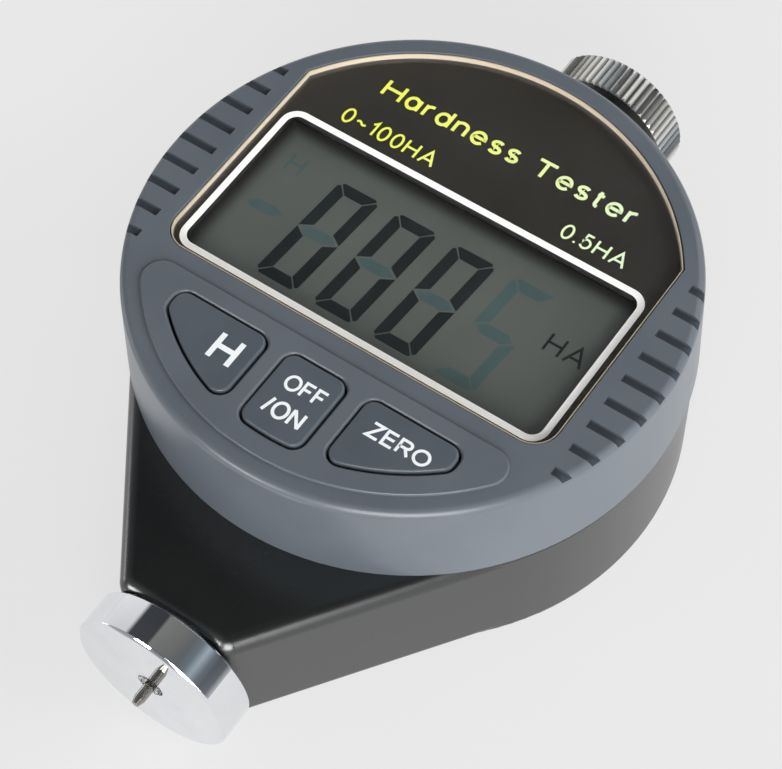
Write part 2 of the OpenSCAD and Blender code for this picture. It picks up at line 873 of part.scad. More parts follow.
module power_key() {
    key(0);
}

module zero_key() {
    key(1);
}

module key_mat() {
    half_w = head_screw_low_x - head_boss_d / 2 - boss_gap;
    color("#3c3c3c") {
        plate(board_z1, board_z1 + mat_t)
            intersection() {
                circle(key_arc_r);
                translate([-half_w, -head_r])
                    square([2 * half_w, head_r - key_line + key_flange]);
            }
        for (side = [-1 : 1])
            z_rod(mat_dome_d[0], board_z1 + mat_t / 2, key_flange_z0 - mat_gap, key_mid(side),
                d2 = mat_dome_d[1]);
    }
}

// Window outline, shrunk all round by an inset
module window_outline(inset = 0) {
    half_w = window_w / 2 - inset;
    low = window_low - inset;
    corner = window_corner_r - inset;
    intersection() {
        circle(head_r - window_rim - inset);
        union() {
            translate([-half_w, corner - low])
                square([2 * half_w, 2 * head_r]);
            translate([corner - half_w, -low])
                square([2 * (half_w - corner), 2 * head_r]);
            for (s = [-1, 1])
                translate([s * (half_w - corner), corner - low])
                    circle(corner);
        }
    }
}

// Crescent panel under the keys, with its two ends rounded
module panel_outline() {
    arc_r = head_r - panel_rim;
    mid_y = -panel_line - panel_corner_r;
    mid_x = sqrt((arc_r - panel_corner_r) ^ 2 - mid_y ^ 2);
    reach = (arc_r + over) / (arc_r - panel_corner_r);
    difference() {
        intersection() {
            circle(arc_r);
            translate([-head_r, -head_r])
                square([2 * head_r, head_r - panel_line]);
        }
        for (s = [-1, 1])
            difference() {
                polygon([
                    [s * mid_x, mid_y],
                    [s * mid_x, over - panel_line],
                    [s * head_r, over - panel_line],
                    [s * mid_x, mid_y] * reach
                ]);
                translate([s * mid_x, mid_y])
                    circle(panel_corner_r);
            }
    }
}

module head_outside() {
    rotate_extrude() {
        polygon([
            [0, body_z1],
            [head_r + head_flare, body_z1],
            [head_r, head_z1 - head_edge_r],
            [0, head_z1 - head_edge_r]
        ]);
        translate([0, head_z1 - 2 * head_edge_r])
            square([head_r - head_edge_r, 2 * head_edge_r]);
        intersection() {
            translate([head_r - head_edge_r, head_z1 - head_edge_r])
                circle(head_edge_r);
            translate([0, head_z1 - head_edge_r])
                square([head_r, head_edge_r]);
        }
    }
}

module head_shell() {
    color("#5f646c")
        difference() {
            union() {
                difference() {
                    union() {
                        head_outside();
                        plate(plate_z + over, panel_z)
                            panel_outline();
                    }
                    z_rod(2 * head_in_r, body_z1 - over, plate_z);
                }
                for (place = head_screw_places)
                    z_rod(head_boss_d, body_z1, plate_z + over, place);
                for (place = head_screw_high)
                    z_rod(head_shoulder_d, board_z1, plate_z + over, place);
                for (place = board_post_places)
                    z_rod(board_post_d, board_z1, plate_z + over, place);
            }
            plate(lens_z, head_z1 + over)
                window_outline();
            plate(plate_z - over, lens_z + over)
                translate([0, view_y])
                    square([view_w + 2 * view_margin, view_h + 2 * view_margin], center = true);
            for (side = [-1 : 1])
                plate(plate_z - over, panel_z + over)
                    key_outline(side, key_gap);
            for (i = [0 : slot_count - 1], s = [-1, 1])
                translate([
                    s > 0 ? head_r - slot_l : -head_r - over,
                    (i - (slot_count - 1) / 2) * slot_pitch - slot_w / 2,
                    head_z1 - slot_depth
                ])
                    cube([slot_l + over, slot_w, slot_depth + over]);
            for (place = head_screw_places)
                z_rod(head_screw_d + 2 * seat_gap, body_z1 - over, shelf_z + head_screw_l + hole_end, place);
            for (place = board_post_places)
                z_rod(board_screw_d + 2 * seat_gap, board_z1 - over,
                    board_z1 + board_screw_l + hole_end, place);
        }
}

module head_screws() {
    color("silver")
        for (place = head_screw_places)
            pan_screw(head_screw_d, head_screw_head, head_screw_l, shelf_z, place);
}

module lens() {
    color("#2a2723")
        plate(lens_z, lens_z + lens_t)
            window_outline(lens_gap);
}

module knob_washer() {
    color("dimgray")
        difference() {
            y_rod(washer_d, stem_y1, knob_y);
            y_rod(washer_hole_d, stem_y1 - over, knob_y + over);
        }
}

// Straight knurl: pointed teeth between the root and the outer diameter
module knurl_outline() {
    root = knob_d / 2 - knurl_depth;
    step = 360 / knurl_count;
    polygon([
        for (i = [0 : knurl_count - 1])
            each [
                knob_d / 2 * [cos(i * step), sin(i * step)],
                root * [cos((i + 0.5) * step), sin((i + 0.5) * step)]
            ]
    ]);
}

module knob() {
    color("gainsboro") {
        translate([0, knob_y, axis_z])
            rotate([-90, 0, 0])
                intersection() {
                    linear_extrude(knob_t)
                        knurl_outline();
                    rotate_extrude()
                        polygon([
                            [0, 0],
                            [knob_d / 2 - knob_chamfer, 0],
                            [knob_d / 2 - knob_chamfer + knob_t / 2, knob_t / 2],
                            [knob_d / 2 - knob_chamfer, knob_t],
                            [0, knob_t]
                        ]);
                }
        y_rod(stud_d, knob_y - stud_l, knob_y + knob_t / 2);
    }
}

body();
rear_cover();
rear_cover_screws();
battery_cap();
battery();
battery_holder();
battery_contact();
presser_foot();
foot_bush();
indenter();
plunger();
guide_bush();
upper_bush();
main_spring();
spring_collar();
spring_adjuster();
stop_clip();
plunger_bracket();
guide_rod();
sensor_slider();
sensor_board();
sensor_board_screws();
main_board();
main_board_screws();
contact_strips();
lcd_glass();
lcd_frame();
key_mat();
hold_key();
power_key();
zero_key();
head_shell();
head_screws();
lens();
knob_washer();
knob();
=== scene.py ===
"""Hand-held digital durometer, dressed for a studio picture."""

import math

import bmesh
import bpy
from mathutils import Matrix, Vector


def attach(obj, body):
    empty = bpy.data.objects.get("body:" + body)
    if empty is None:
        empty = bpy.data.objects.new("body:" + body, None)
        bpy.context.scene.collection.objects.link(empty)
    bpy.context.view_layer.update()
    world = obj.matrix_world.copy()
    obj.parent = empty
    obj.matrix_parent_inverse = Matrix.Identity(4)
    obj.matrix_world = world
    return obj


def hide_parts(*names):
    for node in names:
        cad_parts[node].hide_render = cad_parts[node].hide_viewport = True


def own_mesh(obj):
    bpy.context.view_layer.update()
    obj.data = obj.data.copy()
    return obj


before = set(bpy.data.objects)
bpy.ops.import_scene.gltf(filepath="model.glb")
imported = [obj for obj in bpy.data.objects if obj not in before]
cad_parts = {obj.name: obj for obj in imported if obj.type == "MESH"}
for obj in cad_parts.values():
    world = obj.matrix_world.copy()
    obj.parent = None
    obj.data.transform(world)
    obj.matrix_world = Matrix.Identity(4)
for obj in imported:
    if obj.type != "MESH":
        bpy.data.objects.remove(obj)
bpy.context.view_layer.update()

MM = 0.001

# Levels and outlines of the solids that the new pieces sit on, in millimetres
LENS_FLOOR = 27.35
LENS_TOP = 28.55
DISPLAY_TOP = 25.9
KEY_TOP = 29.15
HEAD_TOP = 28.7
PANEL_TOP = 29.0
SLOT_FLOOR = 28.2
SLOTS_FROM = 24.8
KEY_LINE = -15.0
KEY_REACH = 26.4
LENS_HALF_W = 23.53
LENS_LOW = -11.78
LENS_CORNER = 2.88
LENS_ARC = 27.68
AXIS_Z = 9.7
KNURL_ROOT = 7.95
KNURL_TIP = 8.3
MAT_CUT = 4.86
MAT_REACH = 18.0
KEY_RIM = 1.0
WINDOW_ROOM = 0.5
VIEW = (-21.8, -10.4, 21.8, 9.4)
VIEW_HOLE = (-22.3, -10.9, 22.3, 9.9)
MAT_SPANS = {"hold": (-MAT_REACH, -MAT_CUT), "power": (-MAT_CUT, MAT_CUT), "zero": (MAT_CUT, MAT_REACH)}

# Edge roundings, in millimetres
KEY_HOLE_EDGE = 0.22
PANEL_EDGE = 0.14
WINDOW_EDGE = 0.08
KEY_EDGE = 0.04
FOOT_EDGE = 0.03
LENS_EDGE = 0.12
# Angles between faces, in degrees: an edge that is rounded, a crease in the shading, and one flat face
SHARP_EDGE = 40
LENS_SHARP_EDGE = 60
CREASE = 35
ONE_FACE = 0.05
# How far a point may lie from a level and still belong to it (mm), and points that are one (m)
NEAR = 0.01
WELD = 1e-6

# Noise values that a material's two colours and two roughnesses stand for
BLOTCHES = (0.1, 0.9)
# Painted shade in the slots: how much a face looks up on a floor and at most on a wall, and the room round it
# (mm)
LEVEL_RISE = 0.985
UPRIGHT_RISE = 0.15
SLOT_ROOM = 0.05
# Painted shade between the knurl's ridges, in millimetres from the root and from the tip
ROOT_BLEND = 0.02
ROOT_SHADE = 0.05
TIP_UNSHADED = 0.12
# Stretches over which a colour changes, in millimetres
SHADE_IN = 1.9
SHADE_OUT = 0.3
# Stretch of Y over which painted light makes the sawn edge paler
ARC_LIGHT_SPAN = (13, 21)
LIME_FADE = (-14, 22)


def linear(code):
    """Colour written as sRGB hex, as the linear values that Blender takes."""
    parts = [int(code[i:i + 2], 16) / 255 for i in (1, 3, 5)]
    return tuple(c / 12.92 if c <= 0.04045 else ((c + 0.055) / 1.055) ** 2.4 for c in parts) + (1.0,)


def add(tree, kind, inputs=None, **attributes):
    """Adds a node, sets its attributes, and sets or links its inputs; a node stands for its first output."""
    made = tree.nodes.new(kind)
    for name, value in attributes.items():
        setattr(made, name, value)
    for socket, value in (inputs or {}).items():
        if isinstance(value, bpy.types.Node):
            value = value.outputs[0]
        if isinstance(value, bpy.types.NodeSocket):
            tree.links.new(value, made.inputs[socket])
        else:
            made.inputs[socket].default_value = value
    return made


def surface(name, dark, pale, patch, rough, grain=0.0, bump=0.0, stretch=(1, 1, 1), **sockets):
    """Material with slow blotches of colour and gloss (patch, mm) and a fine relief (grain and bump, mm)."""
    material = bpy.data.materials.new(name)
    material.use_nodes = True
    tree = material.node_tree
    shader = tree.nodes["Principled BSDF"]
    for socket, value in sockets.items():
        shader.inputs[socket.replace("_", " ")].default_value = value
    place = add(tree, "ShaderNodeTexCoord")
    drawn = add(tree, "ShaderNodeMapping", {"Vector": place.outputs["Object"], "Scale": stretch})
    blotch = add(tree, "ShaderNodeTexNoise", {
        "Vector": drawn.outputs["Vector"], "Scale": 1 / (patch * MM), "Detail": 4.0, "Roughness": 0.6})
    colour = add(tree, "ShaderNodeValToRGB", {"Fac": blotch.outputs["Fac"]})
    colour.color_ramp.interpolation = "EASE"
    for stop, at, code in zip(colour.color_ramp.elements, BLOTCHES, (dark, pale)):
        stop.position = at
        stop.color = linear(code)
    tree.links.new(colour.outputs["Color"], shader.inputs["Base Color"])
    gloss = add(tree, "ShaderNodeMapRange", {
        "Value": blotch.outputs["Fac"], "From Min": BLOTCHES[0], "From Max": BLOTCHES[1],
        "To Min": rough[0], "To Max": rough[1]}, interpolation_type="SMOOTHSTEP")
    tree.links.new(gloss.outputs["Result"], shader.inputs["Roughness"])
    if bump:
        fine = add(tree, "ShaderNodeTexNoise", {
            "Vector": drawn.outputs["Vector"], "Scale": 1 / (grain * MM), "Detail": 2.0})
        relief = add(tree, "ShaderNodeBump", {
            "Height": fine.outputs["Fac"], "Distance": bump * MM, "Strength": 1.0})
        tree.links.new(relief.outputs["Normal"], shader.inputs["Normal"])
    return material


def tinted(material, code, measure):
    """Draws a material's colour towards another one, by a share that a function of the place works out."""
    tree = material.node_tree
    base = tree.nodes["Principled BSDF"].inputs["Base Color"]
    place = add(tree, "ShaderNodeTexCoord")
    parts = add(tree, "ShaderNodeSeparateXYZ", {"Vector": place.outputs["Object"]})
    share = measure(tree, parts)
    mixed = add(tree, "ShaderNodeMix", {
        0: share, 6: base.links[0].from_socket, 7: linear(code)}, data_type="RGBA")
    tree.links.new(mixed.outputs[2], base)


# Stoved black paint on cast zinc: semi-gloss, with a soft orange peel about 1 mm across
black_paint = surface("stoved_black_paint", "#0a0c0b", "#0e100f", 18, (0.24, 0.32), 1.1, 0.008, IOR=1.9)
# Moulded grey ABS: matt from spark erosion; the real grain is 0.1 mm, drawn at 0.22 mm to show
grey_abs = surface("moulded_grey_abs", "#555b62", "#5f656c", 14, (0.27, 0.35), 0.22, 0.006)


def painted_slot_shade(tree, parts):
    """Share of painted shade: all of it on the floors and walls of the grip slots, which face up or sideways.
    """
    face = add(tree, "ShaderNodeNewGeometry")
    facing = add(tree, "ShaderNodeSeparateXYZ", {"Vector": face.outputs["True Normal"]})
    rise = facing.outputs["Z"]
    height = parts.outputs["Z"]
    level = add(tree, "ShaderNodeMath", {0: rise, 1: LEVEL_RISE}, operation="GREATER_THAN")
    low = add(tree, "ShaderNodeMath", {0: height, 1: (SLOT_FLOOR + SLOT_ROOM) * MM}, operation="LESS_THAN")
    floor = add(tree, "ShaderNodeMath", {0: level, 1: low}, operation="MULTIPLY")
    slope = add(tree, "ShaderNodeMath", {0: rise}, operation="ABSOLUTE")
    wall = add(tree, "ShaderNodeMath", {0: slope, 1: UPRIGHT_RISE}, operation="LESS_THAN")
    either = add(tree, "ShaderNodeMath", {0: floor, 1: wall}, operation="MAXIMUM")
    above = add(tree, "ShaderNodeMath", {
        0: height, 1: (SLOT_FLOOR - SLOT_ROOM) * MM}, operation="GREATER_THAN")
    across = add(tree, "ShaderNodeMath", {0: parts.outputs["X"]}, operation="ABSOLUTE")
    beside = add(tree, "ShaderNodeMath", {0: across, 1: SLOTS_FROM * MM}, operation="GREATER_THAN")
    inside = add(tree, "ShaderNodeMath", {0: above, 1: beside}, operation="MULTIPLY")
    return add(tree, "ShaderNodeMath", {0: either, 1: inside}, operation="MULTIPLY")


# Painted shade: the grip slots' floors and walls are drawn a darker grey
tinted(grey_abs, "#4a5057", painted_slot_shade)
# The keys' ABS: a darker grey with the same grain
key_abs = surface("key_grey_abs", "#495057", "#535a61", 9, (0.27, 0.35), 0.22, 0.006)
# Moulded black ABS: dull, with the same grain
black_abs = surface("moulded_black_abs", "#1c1d1d", "#252727", 9, (0.45, 0.55), 0.22, 0.008)
# Bright chrome over polished steel: a mirror, with faint polishing haze
chrome = surface("polished_chrome", "#e4e6ea", "#f0f2f4", 6, (0.02, 0.05), 0.5, 0.0003, Metallic=1.0)
# Nickel over turned steel: bright, a little warmer and softer than chrome
nickel = surface("nickel_plating", "#eceae5", "#fbf9f4", 3, (0.24, 0.34), 0.2, 0.002, Metallic=1.0)


def painted_knurl_shade(tree, parts):
    """Share of painted shade between the knurl's root and its ridges, about the plunger's axis."""
    height = add(tree, "ShaderNodeMath", {0: parts.outputs["Z"], 1: AXIS_Z * MM}, operation="SUBTRACT")
    across = add(tree, "ShaderNodeCombineXYZ", {"X": parts.outputs["X"], "Y": height})
    length = add(tree, "ShaderNodeVectorMath", {0: across}, operation="LENGTH")
    unshaded = add(tree, "ShaderNodeMapRange", {
        "Value": length.outputs["Value"], "From Min": (KNURL_ROOT + ROOT_SHADE) * MM,
        "From Max": (KNURL_TIP - TIP_UNSHADED) * MM}, interpolation_type="SMOOTHSTEP")
    inside = add(tree, "ShaderNodeMapRange", {
        "Value": length.outputs["Value"], "From Min": (KNURL_ROOT - ROOT_BLEND) * MM,
        "From Max": KNURL_ROOT * MM}, interpolation_type="SMOOTHSTEP")
    return add(tree, "ShaderNodeMath", {0: inside, 1: unshaded}, operation="SUBTRACT")


# Painted shade: the nickel is drawn darker in the knurl's valleys
tinted(nickel, "#9d9b98", painted_knurl_shade)
# Ground steel: fine streaks along the pin, drawn 0.1 mm apart
ground_steel = surface("ground_steel", "#85817b", "#b8b4ad", 0.5, (0.18, 0.32), 0.1, 0.002,
                       stretch=(1, 0.05, 1), Metallic=1.0)
# Bright zinc plating on steel: pale grey with a soft sheen
zinc_steel = surface("zinc_plated_steel", "#a9a9a6", "#c2c2bf", 2, (0.28, 0.40), 0.3, 0.002, Metallic=1.0)
# Drawn spring steel: a darker grey with a smooth sheen
spring_steel = surface("drawn_spring_steel", "#77787a", "#8f9092", 2, (0.28, 0.38), 0.2, 0.002, Metallic=1.0)
# Turned brass: yellow with a soft sheen
brass = surface("turned_brass", "#b1903f", "#cbab58", 3, (0.22, 0.34), 0.2, 0.002, Metallic=1.0)
# Milled aluminium: pale and satin
aluminium = surface("milled_aluminium", "#b4b6b8", "#cacccd", 3, (0.30, 0.42), 0.2, 0.003, Metallic=1.0)
# Glass-fibre laminate under green solder mask: dark green, half glossy
laminate = surface("solder_mask_laminate", "#0d4a25", "#14602f", 4, (0.28, 0.40), 0.5, 0.004)
# Moulded silicone rubber: dark grey and dull
rubber = surface("silicone_rubber", "#2b2c2c", "#373838", 4, (0.60, 0.75), 0.3, 0.006)
# Punched nylon: black and dry
nylon = surface("punched_nylon", "#141413", "#1b1b1a", 3, (0.50, 0.62), 0.3, 0.004)
# Moulded cream ABS: pale and dull
cream_abs = surface("display_frame_abs", "#bdb69c", "#cbc4ab", 5, (0.45, 0.55), 0.25, 0.004)
# Twisted-nematic display over a reflector: a flat grey-green, darker under the opening's wall
display = surface("display_reflector", "#515653", "#595e5b", 12, (0.32, 0.40), 0.3, 0.0006)


def opening_shade(tree, parts):
    """Share of the shade that the opening's wall throws along the view's upper and left edges."""
    leftward = add(tree, "ShaderNodeMath", {0: parts.outputs["X"], 1: -1.0}, operation="MULTIPLY")
    upper = add(tree, "ShaderNodeMapRange", {
        "Value": parts.outputs["Y"], "From Min": (VIEW[3] - SHADE_IN) * MM,
        "From Max": (VIEW[3] + SHADE_OUT) * MM}, interpolation_type="SMOOTHSTEP")
    left = add(tree, "ShaderNodeMapRange", {
        "Value": leftward, "From Min": (-VIEW[0] - SHADE_IN) * MM,
        "From Max": (-VIEW[0] + SHADE_OUT) * MM}, interpolation_type="SMOOTHSTEP")
    return add(tree, "ShaderNodeMath", {0: upper, 1: left}, operation="MAXIMUM")


tinted(display, "#22211e", opening_shade)
# Driven segments are near black, idle ones a faint blue-green
dark_segment = surface("dark_segment", "#0f1517", "#151c1e", 3, (0.32, 0.40))
ghost_segment = surface("idle_segment", "#3f5152", "#475a5a", 3, (0.32, 0.40))
# Cast acrylic: clear and polished on both faces
acrylic = surface("clear_acrylic", "#fbfaf6", "#ffffff", 20, (0.0, 0.02),
                  Transmission_Weight=1.0, IOR=1.49)
# Sawn acrylic: a frosted cream line round the lens, made paler along the arc by painted light
sawn_edge = surface("sawn_acrylic_edge", "#b3a791", "#c6baa4", 0.8, (0.45, 0.65), 0.25, 0.01)


def painted_arc_light(tree, parts):
    """Share of painted light on the edge, which grows towards the lens's arc."""
    return add(tree, "ShaderNodeMapRange", {
        "Value": parts.outputs["Y"], "From Min": ARC_LIGHT_SPAN[0] * MM, "From Max": ARC_LIGHT_SPAN[1] * MM},
        interpolation_type="SMOOTHSTEP")


# Painted light: the sawn edge is drawn paler towards the arc
tinted(sawn_edge, "#d3c3ac", painted_arc_light)
# Screen inks on the back of the lens: even black, bright white with a little painted glow, and a lime that
# pales to the right
black_ink = surface("black_screen_ink", "#1d1a17", "#24211d", 10, (0.40, 0.50))
# Painted light: the white ink glows a little, to look brighter under the lens
glowing_white_ink = surface("glowing_white_screen_ink", "#f6f5f2", "#ffffff", 5, (0.45, 0.55), Emission_Strength=0.1)
lime_ink = surface("lime_screen_ink", "#f2fa1e", "#fbff78", 14, (0.45, 0.55))


def pale_lime(tree, parts):
    """Share of the paler lime, which grows to the right."""
    return add(tree, "ShaderNodeMapRange", {
        "Value": parts.outputs["X"], "From Min": LIME_FADE[0] * MM, "From Max": LIME_FADE[1] * MM},
        interpolation_type="SMOOTHSTEP")


tinted(lime_ink, "#eaffd8", pale_lime)
# White pad ink of the key legends: even and matt
legend_ink = surface("white_pad_ink", "#e2e6e8", "#edf0f1", 3, (0.45, 0.55))

finishes = {
    "body": black_paint, "rear_cover": black_paint, "rear_cover_screws": zinc_steel, "battery_cap": black_abs,
    "battery": zinc_steel, "battery_holder": black_abs, "battery_contact": brass, "presser_foot": chrome,
    "foot_bush": zinc_steel, "indenter": ground_steel, "plunger": ground_steel, "guide_bush": brass,
    "upper_bush": brass, "main_spring": spring_steel, "spring_collar": brass, "spring_adjuster": brass,
    "stop_clip": spring_steel, "plunger_bracket": aluminium, "guide_rod": ground_steel,
    "sensor_slider": laminate, "sensor_board": laminate, "sensor_board_screws": zinc_steel,
    "main_board": laminate, "main_board_screws": zinc_steel, "contact_strips": rubber, "lcd_glass": display,
    "lcd_frame": cream_abs, "key_mat": rubber, "hold_key": key_abs, "power_key": key_abs, "zero_key": key_abs,
    "head_shell": grey_abs, "head_screws": zinc_steel, "lens": acrylic, "knob_washer": nylon, "knob": nickel,
}
for node, material in finishes.items():
    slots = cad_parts[node].data.materials
    slots.clear()
    slots.append(material)


def placed(name, mesh, material, body):
    """Puts a finished mesh in the scene as a piece that rides on a body."""
    mesh.name = name
    mesh.materials.clear()
    mesh.materials.append(material)
    piece = bpy.data.objects.new(name, mesh)
    bpy.context.scene.collection.objects.link(piece)
    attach(piece, body)
    return piece


def evaluated(source):
    """Plain mesh of an object with its modifiers applied; the object itself goes."""
    bpy.context.view_layer.update()
    graph = bpy.context.evaluated_depsgraph_get()
    mesh = bpy.data.meshes.new_from_object(source.evaluated_get(graph), depsgraph=graph)
    bpy.data.objects.remove(source)
    return mesh


def from_data(name, data):
    """Object in the scene that holds a mesh or a curve until it is evaluated."""
    source = bpy.data.objects.new(name, data)
    bpy.context.scene.collection.objects.link(source)
    return source


def softened(name, node, body, groups=(), span=None):
    """Copy of a CAD node that stands for it, or for its stretch between two places across (mm).
    Its sharp edges are rounded in groups: a test of the place (mm), a width, and a number of steps."""
    shape = bmesh.new()
    shape.from_mesh(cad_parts[node].data)
    bmesh.ops.remove_doubles(shape, verts=shape.verts, dist=WELD)
    bmesh.ops.dissolve_limit(shape, angle_limit=math.radians(ONE_FACE), verts=shape.verts, edges=shape.edges)
    for x, outward in zip(span or (), (-1, 1)):
        bmesh.ops.bisect_plane(shape, geom=shape.verts[:] + shape.edges[:] + shape.faces[:],
                               plane_co=(x * MM, 0, 0), plane_no=(outward, 0, 0), clear_outer=True)
        bmesh.ops.holes_fill(shape, edges=[e for e in shape.edges if e.is_boundary])
    for test, width, steps in groups:
        edges = [e for e in shape.edges if e.is_manifold and e.calc_face_angle() > math.radians(SHARP_EDGE)
                 and all(test(v.co / MM) for v in e.verts)]
        bmesh.ops.bevel(shape, geom=edges, offset=width * MM, segments=steps, profile=0.5, affect="EDGES")
    mesh = bpy.data.meshes.new(name)
    shape.to_mesh(mesh)
    shape.free()
    mesh.attributes.remove(mesh.attributes["custom_normal"])
    mesh.shade_smooth()
    mesh.set_sharp_from_angle(angle=math.radians(CREASE))
    source = from_data(name + "_source", mesh)
    weighted = source.modifiers.new("normals", "WEIGHTED_NORMAL")
    weighted.keep_sharp = True
    piece = placed(name, evaluated(source), finishes[node], body)
    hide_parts(node)
    return piece


def flat_mesh(name, loops, z0, z1):
    """Thin plate between two levels, from closed outlines in millimetres; inner outlines are holes."""
    curve = bpy.data.curves.new(name, "CURVE")
    curve.dimensions = "2D"
    curve.fill_mode = "BOTH"
    curve.extrude = (z1 - z0) / 2 * MM
    for loop in loops:
        spline = curve.splines.new("POLY")
        spline.points.add(len(loop) - 1)
        spline.use_cyclic_u = True
        for point, (x, y) in zip(spline.points, loop):
            point.co = (x * MM, y * MM, 0, 1)
    mesh = evaluated(from_data(name, curve))
    mesh.transform(Matrix.Translation((0, 0, (z0 + z1) / 2 * MM)))
    return mesh


def arc(x, y, r, start, end, steps, r_y=None):
    """Points along an arc, or along part of an ellipse when its upright radius is given."""
    turns = [math.radians(start + (end - start) * i / steps) for i in range(steps + 1)]
    return [(x + r * math.cos(a), y + (r_y or r) * math.sin(a)) for a in turns]


def layer(name, loops, z0, z1, material):
    """Thin plate that belongs to the case."""
    return placed(name, flat_mesh(name, loops, z0, z1), material, "case")


# Plain letters as strokes: width, then the strokes, at a capital height of 1
LETTERS = {
    " ": (0.12, []),
    ".": (0.02, [[(0.01, 0), (0.01, 0.13)]]),
    "/": (0.28, [[(0, 0), (0.28, 1)]]),
    "~": (0.56, [[(0.028 * i, 0.42 + 0.09 * math.sin(math.pi * i / 10)) for i in range(21)]]),
    "0": (0.54, [arc(0.27, 0.5, 0.27, 0, 360, 28, 0.5)]),
    "1": (0.26, [[(0.02, 0.76), (0.16, 0.85), (0.26, 1), (0.26, 0)]]),
    "5": (0.52, [[(0.47, 1), (0.11, 1), (0.05, 0.52)] + arc(0.25, 0.33, 0.27, 140, -150, 16, 0.33)]),
    "A": (0.82, [[(0, 0), (0.41, 1), (0.82, 0)], [(0.14, 0.34), (0.68, 0.34)]]),
    "E": (0.62, [[(0.62, 0), (0, 0), (0, 1), (0.60, 1)], [(0, 0.52), (0.56, 0.52)]]),
    "F": (0.58, [[(0, 0), (0, 1), (0.58, 1)], [(0, 0.52), (0.50, 0.52)]]),
    "H": (0.70, [[(0, 0), (0, 1)], [(0.70, 0), (0.70, 1)], [(0, 0.52), (0.70, 0.52)]]),
    "N": (0.70, [[(0, 0), (0, 1)], [(0, 1), (0.70, 0)], [(0.70, 0), (0.70, 1)]]),
    "O": (0.86, [arc(0.43, 0.5, 0.43, 0, 360, 32, 0.5)]),
    "R": (0.70, [[(0, 0), (0, 1)] + arc(0.40, 0.75, 0.25, 90, -90, 10) + [(0, 0.5)],
                 [(0.38, 0.5), (0.70, 0)]]),
    "T": (0.72, [[(0, 1), (0.72, 1)], [(0.36, 1), (0.36, 0)]]),
    "Z": (0.68, [[(0.03, 1), (0.66, 1), (0, 0), (0.68, 0)]]),
    "a": (0.48, [arc(0.23, 0.36, 0.23, 0, 360, 24, 0.36), [(0.48, 0.73), (0.48, 0)]]),
    "d": (0.48, [arc(0.23, 0.36, 0.23, 0, 360, 24, 0.36), [(0.48, 1), (0.48, 0)]]),
    "e": (0.50, [[(0.02, 0.38), (0.50, 0.38)] + arc(0.25, 0.365, 0.25, 4, 322, 20, 0.365)]),
    "n": (0.45, [[(0, 0), (0, 0.73)], arc(0.225, 0.48, 0.225, 180, 0, 12, 0.25) + [(0.45, 0)]]),
    "r": (0.26, [[(0, 0), (0, 0.73)], arc(0.26, 0.45, 0.26, 180, 88, 8, 0.27)]),
    "s": (0.42, [arc(0.21, 0.55, 0.19, 35, 270, 12, 0.18) + arc(0.21, 0.185, 0.20, 90, -150, 12, 0.185)]),
    "t": (0.27, [[(0.10, 0.95), (0.10, 0.15)] + arc(0.23, 0.14, 0.13, 180, 270, 5),
                 [(0, 0.73), (0.26, 0.73)]]),
}
# A mitre's least cosine, and its greatest length as a share of the stroke
MITRE_COSINE = 0.2
MITRE_REACH = 1.4
# Depth of an ink, and the steps that keep crossing strokes out of one plane, in millimetres
INK_DEPTH = 0.010
INK_STEP = 0.001
INK_LEVELS = 4


def stroke_mesh(shape, line, width, z0, z1):
    """Adds one stroke to a shape: a flat strip of even width with mitred corners, closed all round."""
    ring = math.dist(line[0], line[-1]) < WELD
    points = [Vector(p) for p in (line[:-1] if ring else line)]
    count = len(points)
    rows = []
    for i, p in enumerate(points):
        ahead = (points[(i + 1) % count] - p) if ring or i + 1 < count else (p - points[i - 1])
        behind = (p - points[i - 1]) if ring or i else ahead
        ahead, behind = ahead.normalized(), behind.normalized()
        across = Vector((-ahead.y - behind.y, ahead.x + behind.x)).normalized()
        cosine = max(across.dot(Vector((-ahead.y, ahead.x))), MITRE_COSINE)
        half = across * min(width / 2 / cosine, MITRE_REACH * width)
        corners = ((p - half, z0), (p + half, z0), (p + half, z1), (p - half, z1))
        rows.append([shape.verts.new((q.x, q.y, z)) for q, z in corners])
    for first, second in zip(rows, rows[1:] + (rows[:1] if ring else [])):
        for k in range(4):
            shape.faces.new((first[k], first[(k + 1) % 4], second[(k + 1) % 4], second[k]))
    if not ring:
        shape.faces.new(rows[0][::-1])
        shape.faces.new(rows[-1])


def words(name, text, box, z, material, body, weight=0.14, gap=0.17):
    """Lettering fitted to a box (left, low, right, high) in millimetres, lying at a level."""
    strokes = []
    x = 0
    for letter in text:
        width, lines = LETTERS[letter]
        strokes += [[(x + px, py) for px, py in line] for line in lines]
        x += width + weight + gap
    xs, ys = zip(*[point for line in strokes for point in line])
    stroke = weight * (box[3] - box[1]) / (max(ys) - min(ys) + weight)
    scale_x = (box[2] - box[0] - stroke) / (max(xs) - min(xs))
    scale_y = (box[3] - box[1] - stroke) / (max(ys) - min(ys))
    left = box[0] + stroke / 2
    low = box[1] + stroke / 2
    shape = bmesh.new()
    for i, line in enumerate(strokes):
        fitted = [(left + (px - min(xs)) * scale_x, low + (py - min(ys)) * scale_y) for px, py in line]
        top = z + INK_DEPTH + INK_STEP * (i % INK_LEVELS)
        stroke_mesh(shape, [(px * MM, py * MM) for px, py in fitted], stroke * MM, z * MM, top * MM)
    bmesh.ops.recalc_face_normals(shape, faces=shape.faces)
    mesh = bpy.data.meshes.new(name)
    shape.to_mesh(mesh)
    shape.free()
    return placed(name, mesh, material, body)


def rounded_box(x0, y0, x1, y1, r):
    """Outline of a box with round corners."""
    return (arc(x1 - r, y1 - r, r, 0, 90, 8) + arc(x0 + r, y1 - r, r, 90, 180, 8)
            + arc(x0 + r, y0 + r, r, 180, 270, 8) + arc(x1 - r, y0 + r, r, 270, 360, 8))


